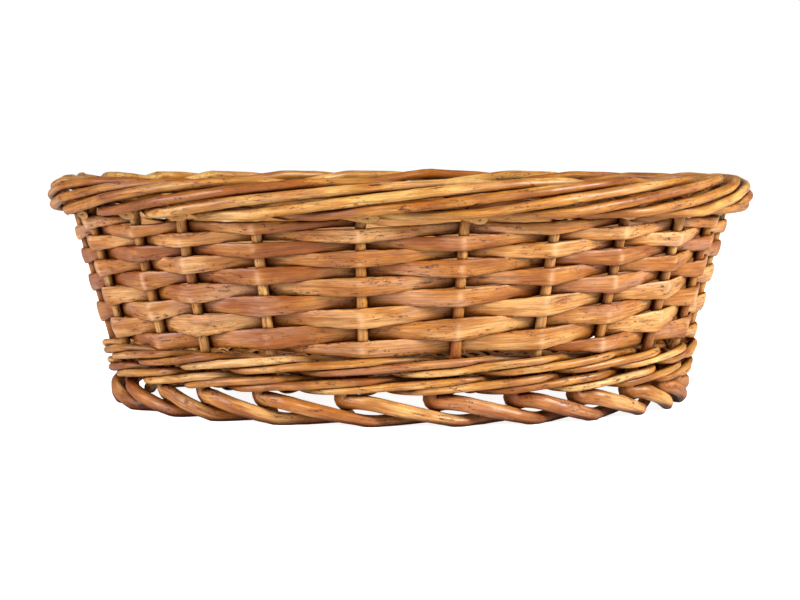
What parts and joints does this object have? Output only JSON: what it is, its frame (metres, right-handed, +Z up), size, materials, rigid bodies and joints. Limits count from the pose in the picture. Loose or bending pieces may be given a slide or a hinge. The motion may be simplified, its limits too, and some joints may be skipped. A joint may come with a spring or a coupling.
{
  "type": "wicker pet bed basket",
  "caption": "Low oval pet bed basket of woven buff willow, with a flared wall, a rolled rope border, a twisted wale and an openwork foot border.",
  "frame": {"origin": "centre of the oval, on the plane that the foot border stands on", "axes": "+X along the basket's long side, +Z up out of the basket, front towards -Y"},
  "size_m": [0.4957, 0.376, 0.1616],
  "materials": {
    "stake_willow": "satin buff willow rod, bark peeled",
    "split_willow": "satin split buff willow skein",
    "wale_willow": "satin buff willow rod",
    "foot_willow": "satin buff willow rod",
    "base_willow": "satin buff willow"
  },
  "bodies": {
    "root": {"base_long_stick_1": "base_willow", "base_long_stick_2": "base_willow", "base_long_stick_3": "base_willow", "base_short_stick_1": "base_willow", "base_short_stick_2": "base_willow", "base_short_stick_3": "base_willow", "base_short_stick_4": "base_willow", "base_short_stick_5": "base_willow", "base_short_stick_6": "base_willow", "base_short_stick_7": "base_willow", "base_short_stick_8": "base_willow", "base_short_stick_9": "base_willow", "base_weaver_1": "base_willow", "base_weaver_2": "base_willow", "base_weaver_3": "base_willow", "base_weaver_4": "base_willow", "base_weaver_5": "base_willow", "base_weaver_6": "base_willow", "foot_border_rods": "foot_willow", "side_stake_01": "stake_willow", "side_stake_02": "stake_willow", "side_stake_03": "stake_willow", "side_stake_04": "stake_willow", "side_stake_05": "stake_willow", "side_stake_06": "stake_willow", "side_stake_07": "stake_willow", "side_stake_08": "stake_willow", "side_stake_09": "stake_willow", "side_stake_10": "stake_willow", "side_stake_11": "stake_willow", "side_stake_12": "stake_willow", "side_stake_13": "stake_willow", "side_stake_14": "stake_willow", "side_stake_15": "stake_willow", "side_stake_16": "stake_willow", "side_stake_17": "stake_willow", "side_stake_18": "stake_willow", "side_stake_19": "stake_willow", "side_stake_20": "stake_willow", "side_stake_21": "stake_willow", "side_stake_22": "stake_willow", "side_stake_23": "stake_willow", "side_stake_24": "stake_willow", "siding_weaver_1": "split_willow", "siding_weaver_2": "split_willow", "siding_weaver_3": "split_willow", "siding_weaver_4": "split_willow", "siding_weaver_5": "split_willow", "siding_weaver_6": "split_willow", "siding_weaver_7": "split_willow", "siding_weaver_8": "split_willow", "upsett_wale_rod_1": "wale_willow", "upsett_wale_rod_2": "wale_willow", "upsett_wale_rod_3": "wale_willow", "upsett_wale_rod_4": "wale_willow", "upsett_wale_rod_5": "wale_willow", "upsett_wale_rod_6": "wale_willow"}
  },
  "joints": []
}
